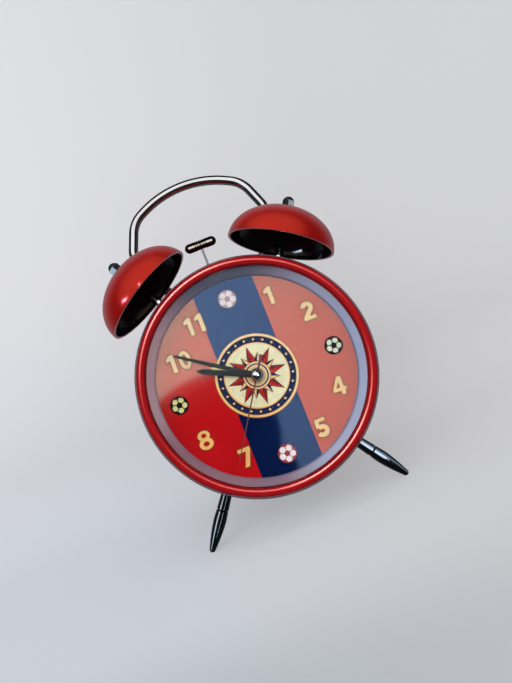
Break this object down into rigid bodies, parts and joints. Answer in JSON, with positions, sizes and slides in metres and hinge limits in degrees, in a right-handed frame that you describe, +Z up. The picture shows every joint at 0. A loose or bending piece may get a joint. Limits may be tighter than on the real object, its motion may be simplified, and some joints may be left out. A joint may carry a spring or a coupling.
{
  "type": "twin bell alarm clock",
  "caption": "Round metal alarm clock with domed bells and a striking hammer above a printed dial, standing on splayed feet and its rear rim, with setting knobs behind.",
  "frame": {"origin": "bottom centre of the box round the standing clock: X on the dial's centre line, Z on the surface it stands on", "axes": "+Z up, the dial faces -Y leaning back by 15.5 degrees, +X to the right as the dial is read"},
  "size_m": [0.1174, 0.098, 0.1634],
  "materials": {
    "case_red": "glossy red enamel",
    "bell_red": "glossy red enamel outside, black inside",
    "chrome": "polished plating",
    "dark_chrome": "black nickel plating",
    "lens_glass": "clear, polished",
    "surround_grey": "satin lilac grey",
    "dial_print": "printed card on sheet metal",
    "hand_black": "satin black lacquer",
    "hand_red": "dark red lacquer",
    "hand_gold": "pale gold lacquer",
    "zinc_steel": "zinc plated",
    "lamination": "bare electrical steel",
    "magnet": "sintered ferrite",
    "gear_white": "moulded acetal",
    "housing_grey": "moulded case plastic",
    "copper_coil": "enamelled copper wire",
    "board_green": "circuit board",
    "cover_black": "fine moulded texture",
    "knob_grey": "moulded, fluted",
    "cell_jacket": "plain printed sleeve",
    "contact_steel": "nickel plated spring steel"
  },
  "bodies": {
    "case": {"case_drum": "case_red", "front_bezel": "case_red", "lens": "lens_glass", "dial_surround": "surround_grey", "dial_plate": "dial_print", "right_bell": "bell_red", "left_bell": "bell_red", "bell_posts": "chrome", "bell_cap_nuts": "chrome", "bell_inner_nuts": "zinc_steel", "handle": "chrome", "handle_screws": "zinc_steel", "right_foot": "chrome", "left_foot": "chrome", "foot_nuts": "zinc_steel", "hammer_pivot_pin": "zinc_steel", "hammer_bracket": "zinc_steel", "hammer_motor": "zinc_steel", "movement_front": "housing_grey", "movement_bridge": "housing_grey", "movement_rear": "housing_grey", "stator": "lamination", "coil": "copper_coil", "circuit_board": "board_green", "back_cover": "cover_black", "cover_screws": "zinc_steel", "battery": "cell_jacket", "battery_contacts": "contact_steel", "switch_housing": "cover_black"},
    "second_train": {"second_hand": "hand_red", "second_arbor": "gear_white", "centre_cap": "chrome"},
    "minute_train": {"minute_hand": "hand_black", "minute_arbor": "gear_white"},
    "hour_train": {"hour_hand": "hand_black", "hour_wheel": "gear_white"},
    "third_gear": {"third_wheel": "gear_white"},
    "intermediate_gear": {"intermediate_wheel": "gear_white"},
    "rotor_gear": {"rotor": "magnet"},
    "time_setting": {"minute_wheel": "gear_white", "time_knob": "knob_grey"},
    "alarm_train": {"alarm_hand": "hand_gold", "alarm_wheel": "gear_white"},
    "alarm_setting": {"alarm_pinion": "gear_white", "alarm_knob": "knob_grey"},
    "hammer": {"hammer_head": "dark_chrome", "hammer_rod": "zinc_steel", "hammer_arm": "zinc_steel"},
    "crank": {"motor_crank": "zinc_steel"},
    "switch_slider": {"alarm_switch": "knob_grey"},
    "door": {"battery_door": "cover_black"}
  },
  "joints": [
    {"name": "second_spin", "type": "hinge", "parent": "case", "child": "second_train", "pos_m": [0, -0.01576, 0.06224], "axis": [0, 0.9636, -0.2672], "continuous": true},
    {"name": "minute_spin", "type": "hinge", "parent": "case", "child": "minute_train", "pos_m": [0, -0.01576, 0.06224], "axis": [0, 0.9636, -0.2672], "continuous": true},
    {"name": "hour_spin", "type": "hinge", "parent": "case", "child": "hour_train", "pos_m": [0, -0.01576, 0.06224], "axis": [0, 0.9636, -0.2672], "continuous": true},
    {"name": "third_spin", "type": "hinge", "parent": "case", "child": "third_gear", "pos_m": [0, -0.01876, 0.05145], "axis": [0, 0.9636, -0.2672], "continuous": true},
    {"name": "intermediate_spin", "type": "hinge", "parent": "case", "child": "intermediate_gear", "pos_m": [0, -0.01352, 0.07034], "axis": [0, 0.9636, -0.2672], "continuous": true},
    {"name": "rotor_spin", "type": "hinge", "parent": "case", "child": "rotor_gear", "pos_m": [-0.0084, -0.01352, 0.07034], "axis": [0, 0.9636, -0.2672], "continuous": true},
    {"name": "time_knob_spin", "type": "hinge", "parent": "case", "child": "time_setting", "pos_m": [0.012, -0.01576, 0.06224], "axis": [0, 0.9636, -0.2672], "continuous": true},
    {"name": "alarm_hand_spin", "type": "hinge", "parent": "case", "child": "alarm_train", "pos_m": [0, -0.01576, 0.06224], "axis": [0, 0.9636, -0.2672], "continuous": true},
    {"name": "alarm_knob_spin", "type": "hinge", "parent": "case", "child": "alarm_setting", "pos_m": [-0.012, -0.01576, 0.06224], "axis": [0, 0.9636, -0.2672], "continuous": true},
    {"name": "motor_spin", "type": "hinge", "parent": "case", "child": "crank", "pos_m": [-0.0023, -0.00775, 0.09115], "axis": [0, 0.9636, -0.2672], "continuous": true},
    {"name": "hammer_swing", "type": "hinge", "parent": "case", "child": "hammer", "pos_m": [-0.0023, -0.00175, 0.09779], "axis": [0, 0.9636, -0.2672], "range_deg": [-2.3, 10.5]},
    {"name": "alarm_switch_slide", "type": "slide", "parent": "case", "child": "switch_slider", "axis": [1, 0, 0], "range_m": [0, 0.004]},
    {"name": "battery_door_swing", "type": "hinge", "parent": "case", "child": "door", "pos_m": [0, 0.0038, 0.02091], "axis": [-1, 0, 0], "range_deg": [0, 95]}
  ],
  "couplings": [
    {"joint": "minute_spin", "follows": "second_spin", "ratio": 0.016667},
    {"joint": "hour_spin", "follows": "second_spin", "ratio": 0.0013889},
    {"joint": "third_spin", "follows": "second_spin", "ratio": -0.125},
    {"joint": "time_knob_spin", "follows": "second_spin", "ratio": -0.0055556},
    {"joint": "intermediate_spin", "follows": "second_spin", "ratio": -5},
    {"joint": "rotor_spin", "follows": "second_spin", "ratio": 30},
    {"joint": "alarm_knob_spin", "follows": "alarm_hand_spin", "ratio": -3}
  ]
}
